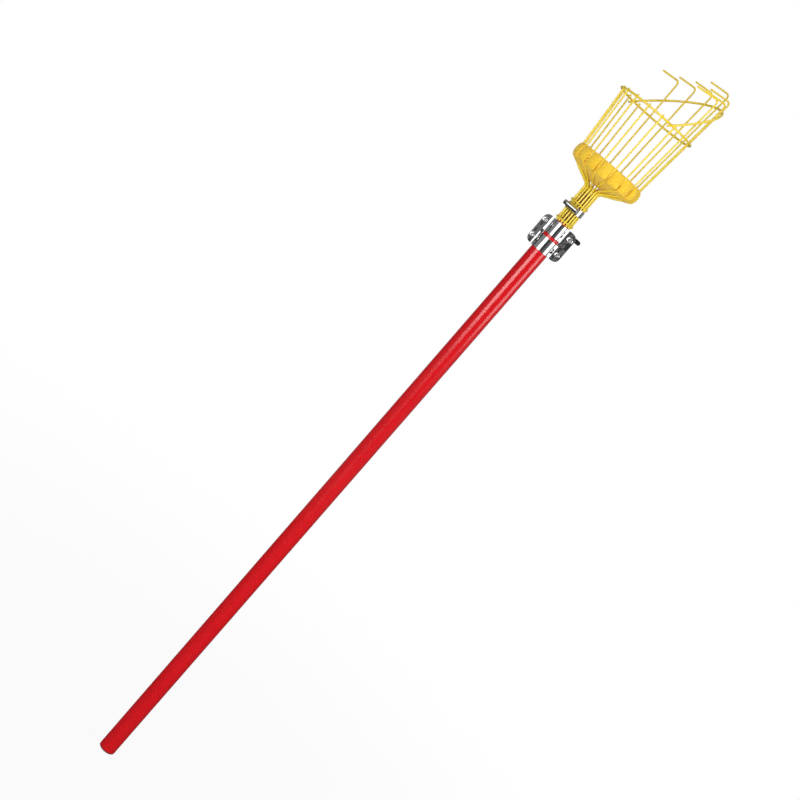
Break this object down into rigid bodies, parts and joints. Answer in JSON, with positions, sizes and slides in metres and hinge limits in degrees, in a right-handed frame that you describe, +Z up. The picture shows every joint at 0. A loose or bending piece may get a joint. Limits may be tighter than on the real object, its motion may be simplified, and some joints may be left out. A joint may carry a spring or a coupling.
{
  "type": "telescopic fruit picker",
  "caption": "Telescopic fruit picker: a red sliding pole with a bolted tube clamp carries a yellow wire basket with bent picking fingers, a guard hoop and a foam pad.",
  "frame": {"origin": "centre of the pole's lower end", "axes": "+Z up the pole to the basket, +X along the clamp's flanges to the side of its lever, -Y the side of the bolt heads"},
  "size_m": [0.1569, 0.1558, 1.5758],
  "materials": {
    "red_steel": "gloss powder coat",
    "red_plastic": "smooth moulded",
    "nylon": "smooth moulded",
    "chrome": "bright plated",
    "steel": "zinc plated",
    "black_plastic": "satin moulded",
    "yellow_wire": "dipped plastic coat",
    "stainless": "polished strip",
    "foam": "open-cell foam"
  },
  "bodies": {
    "outer_pole": {"outer_tube": "red_steel", "pole_end_cap": "red_plastic", "guide_bush": "red_plastic", "clamp_front_shell": "chrome", "clamp_back_shell": "chrome", "clamp_bolts": "steel", "clamp_washers": "steel", "clamp_nuts": "steel"},
    "pole_slider": {"inner_guide_ring": "nylon"},
    "inner_pole": {"inner_tube": "red_steel", "inner_bottom_plug": "nylon", "inner_top_plug": "red_plastic", "plain_rib_1": "yellow_wire", "plain_rib_2": "yellow_wire", "plain_rib_3": "yellow_wire", "plain_rib_4": "yellow_wire", "plain_rib_5": "yellow_wire", "plain_rib_6": "yellow_wire", "plain_rib_7": "yellow_wire", "plain_rib_8": "yellow_wire", "plain_rib_9": "yellow_wire", "finger_rib_1": "yellow_wire", "finger_rib_2": "yellow_wire", "finger_rib_3": "yellow_wire", "finger_rib_4": "yellow_wire", "finger_rib_5": "yellow_wire", "finger_rib_6": "yellow_wire", "finger_rib_7": "yellow_wire", "rim_ring": "yellow_wire", "guard_hoop": "yellow_wire", "neck_lower_ring": "yellow_wire", "neck_upper_ring": "yellow_wire", "hose_clamp_band": "stainless", "hose_clamp_housing": "stainless", "foam_cushion": "foam"},
    "clamp_lever": {"clamp_lever": "black_plastic"},
    "hose_screw": {"hose_clamp_screw": "stainless"}
  },
  "joints": [
    {"name": "pole_extend", "type": "slide", "parent": "outer_pole", "child": "pole_slider", "axis": [0, 0, 1], "range_m": [0, 0.85]},
    {"name": "pole_turn", "type": "hinge", "parent": "pole_slider", "child": "inner_pole", "pos_m": [0, 0, 1.2268], "axis": [0, 0, 1], "continuous": true},
    {"name": "lever_turn", "type": "hinge", "parent": "outer_pole", "child": "clamp_lever", "pos_m": [0.02692, 0, 1.2273], "axis": [0, 1, 0], "range_deg": [0, 90]},
    {"name": "hose_screw_turn", "type": "hinge", "parent": "inner_pole", "child": "hose_screw", "pos_m": [-0.00767, -0.01998, 1.271], "axis": [0.9336, -0.3584, 0], "continuous": true}
  ]
}
